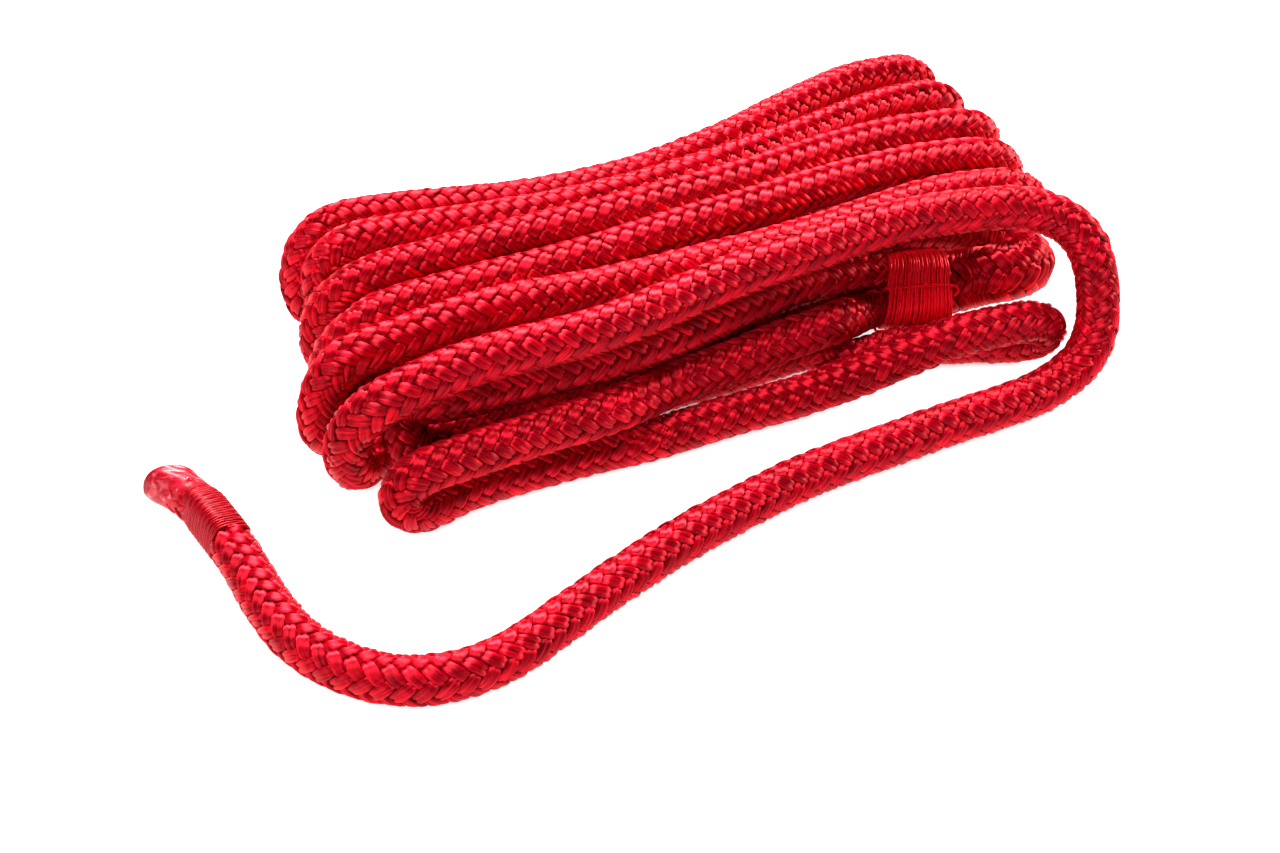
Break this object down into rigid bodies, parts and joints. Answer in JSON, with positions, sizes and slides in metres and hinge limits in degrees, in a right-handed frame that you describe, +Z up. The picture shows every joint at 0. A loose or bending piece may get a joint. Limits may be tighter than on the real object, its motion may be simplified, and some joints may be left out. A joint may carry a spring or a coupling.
{
  "type": "coiled dock line",
  "caption": "Braided mooring line wound into a flat hank, with a folded spliced eye along its front and a whipped, sleeved free end led round in a loose curve.",
  "frame": {"origin": "centre of the bounding box, at the floor the hank lies on", "axes": "+X along the hank away from the free end, +Z up, -Y the side of the spliced eye and the free end"},
  "size_m": [0.2724, 0.161, 0.0468],
  "materials": {
    "line_cover": "red braided filament cover, silky",
    "line_core": "off-white braided core",
    "whipping_twine": "red twisted twine",
    "shrink_sleeve": "clear heat-shrink film, glossy, slightly crumpled",
    "melted_tip": "filaments melted together and set hard"
  },
  "bodies": {
    "root": {"hank_turns": "line_cover", "tail_cover": "line_cover", "tail_core": "line_core", "tail_end": "line_cover", "splice_cover": "line_cover", "splice_buried_tail": "line_core", "eye_cover": "line_cover", "eye_core": "line_core", "throat_legs": "line_cover", "throat_whipping": "whipping_twine", "end_whipping": "whipping_twine", "end_sleeve": "shrink_sleeve", "sealed_tip": "melted_tip"}
  },
  "joints": []
}
